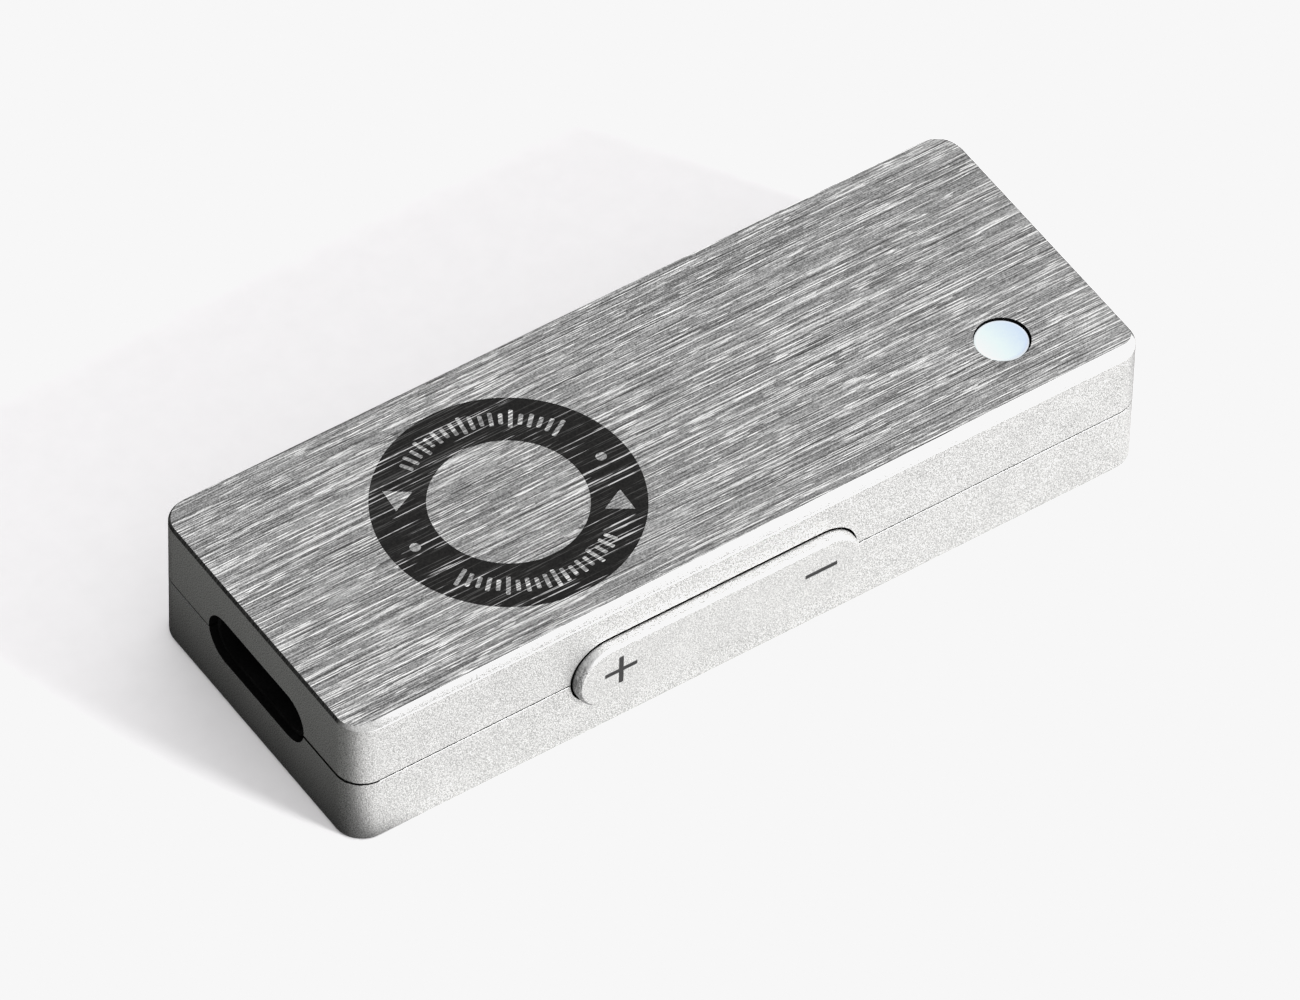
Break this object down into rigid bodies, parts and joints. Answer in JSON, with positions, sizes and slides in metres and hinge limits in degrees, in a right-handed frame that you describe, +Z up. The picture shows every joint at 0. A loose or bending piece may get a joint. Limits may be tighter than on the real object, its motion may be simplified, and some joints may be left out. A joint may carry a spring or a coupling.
{
  "type": "pocket headphone dac",
  "caption": "Slim aluminium USB-C headphone amplifier and converter with a volume rocker, status light and headphone jack.",
  "frame": {"origin": "centre of the flat underside of the housing", "axes": "+X along the body from the USB-C socket to the headphone jack, -Y out of the side with the volume rocker, +Z up out of the brushed face"},
  "size_m": [0.052, 0.0202, 0.0091],
  "materials": {
    "housing_aluminium": "brushed top with long fine streaks, bead-blasted sides",
    "key_aluminium": "bead-blasted satin, engraved symbols filled dark",
    "screw_steel": "turned and lightly oiled",
    "nickel_plate": "satin nickel plating",
    "gold_plate": "gold flash plating",
    "black_finish": "matt black moulding and printing",
    "white_plastic": "white moulding",
    "light_pipe": "frosted diffuser, lit pale blue-white from below",
    "solder_mask": "green solder mask over copper",
    "thermal_rubber": "soft silicone pad",
    "epoxy": "moulded epoxy package",
    "ferrite": "sintered ferrite",
    "tantalum_case": "yellow moulded case",
    "ceramic": "fired ceramic"
  },
  "bodies": {
    "housing": {"top_shell": "housing_aluminium", "bottom_shell": "housing_aluminium", "shell_screw_1": "screw_steel", "shell_screw_2": "screw_steel", "shell_screw_3": "screw_steel", "shell_screw_4": "screw_steel", "led_light_pipe": "light_pipe", "led_emitter": "white_plastic", "rocker_pivot_pin": "screw_steel", "rocker_bracket": "nickel_plate", "plus_switch_body": "black_finish", "minus_switch_body": "black_finish", "main_board": "solder_mask", "thermal_pad": "thermal_rubber", "usb_socket_shell": "black_finish", "usb_socket_insulator": "black_finish", "usb_socket_tongue": "black_finish", "usb_contacts_upper": "gold_plate", "usb_contacts_lower": "gold_plate", "jack_body": "black_finish", "jack_collar": "gold_plate", "jack_tip_contact": "nickel_plate", "jack_ring_contact": "nickel_plate", "jack_sleeve_contact": "nickel_plate", "usb_bridge_chip": "epoxy", "dac_chip": "epoxy", "headphone_amplifier_chip": "epoxy", "voltage_regulator": "epoxy", "flash_memory_chip": "epoxy", "clock_oscillator_1": "nickel_plate", "clock_oscillator_2": "nickel_plate", "power_inductor_1": "ferrite", "power_inductor_2": "ferrite", "output_capacitor_1": "tantalum_case", "output_capacitor_2": "tantalum_case", "output_capacitor_3": "tantalum_case", "output_capacitor_4": "tantalum_case", "bypass_capacitor_1": "ceramic", "bypass_capacitor_2": "ceramic", "bypass_capacitor_3": "ceramic", "bypass_capacitor_4": "ceramic", "bypass_capacitor_5": "ceramic", "bypass_capacitor_6": "ceramic", "output_resistor_1": "epoxy", "output_resistor_2": "epoxy", "shield_can": "nickel_plate"},
    "volume_rocker": {"volume_rocker": "key_aluminium"},
    "plus_plunger": {"plus_switch_plunger": "white_plastic"},
    "minus_plunger": {"minus_switch_plunger": "white_plastic"}
  },
  "joints": [
    {"name": "volume_rock", "type": "hinge", "parent": "housing", "child": "volume_rocker", "pos_m": [-0.0026, -0.007, 0.00466], "axis": [0, 0, 1], "range_deg": [-1.8, 1.8], "stiffness_Nm_per_rad": 0.1},
    {"name": "plus_plunger_slide", "type": "slide", "parent": "housing", "child": "plus_plunger", "axis": [0, 1, 0], "range_m": [-0.00021, 0.00021]},
    {"name": "minus_plunger_slide", "type": "slide", "parent": "housing", "child": "minus_plunger", "axis": [0, 1, 0], "range_m": [-0.00021, 0.00021]}
  ],
  "couplings": [
    {"joint": "plus_plunger_slide", "follows": "volume_rock", "m_per_rad": -0.00655},
    {"joint": "minus_plunger_slide", "follows": "volume_rock", "m_per_rad": 0.00655}
  ]
}
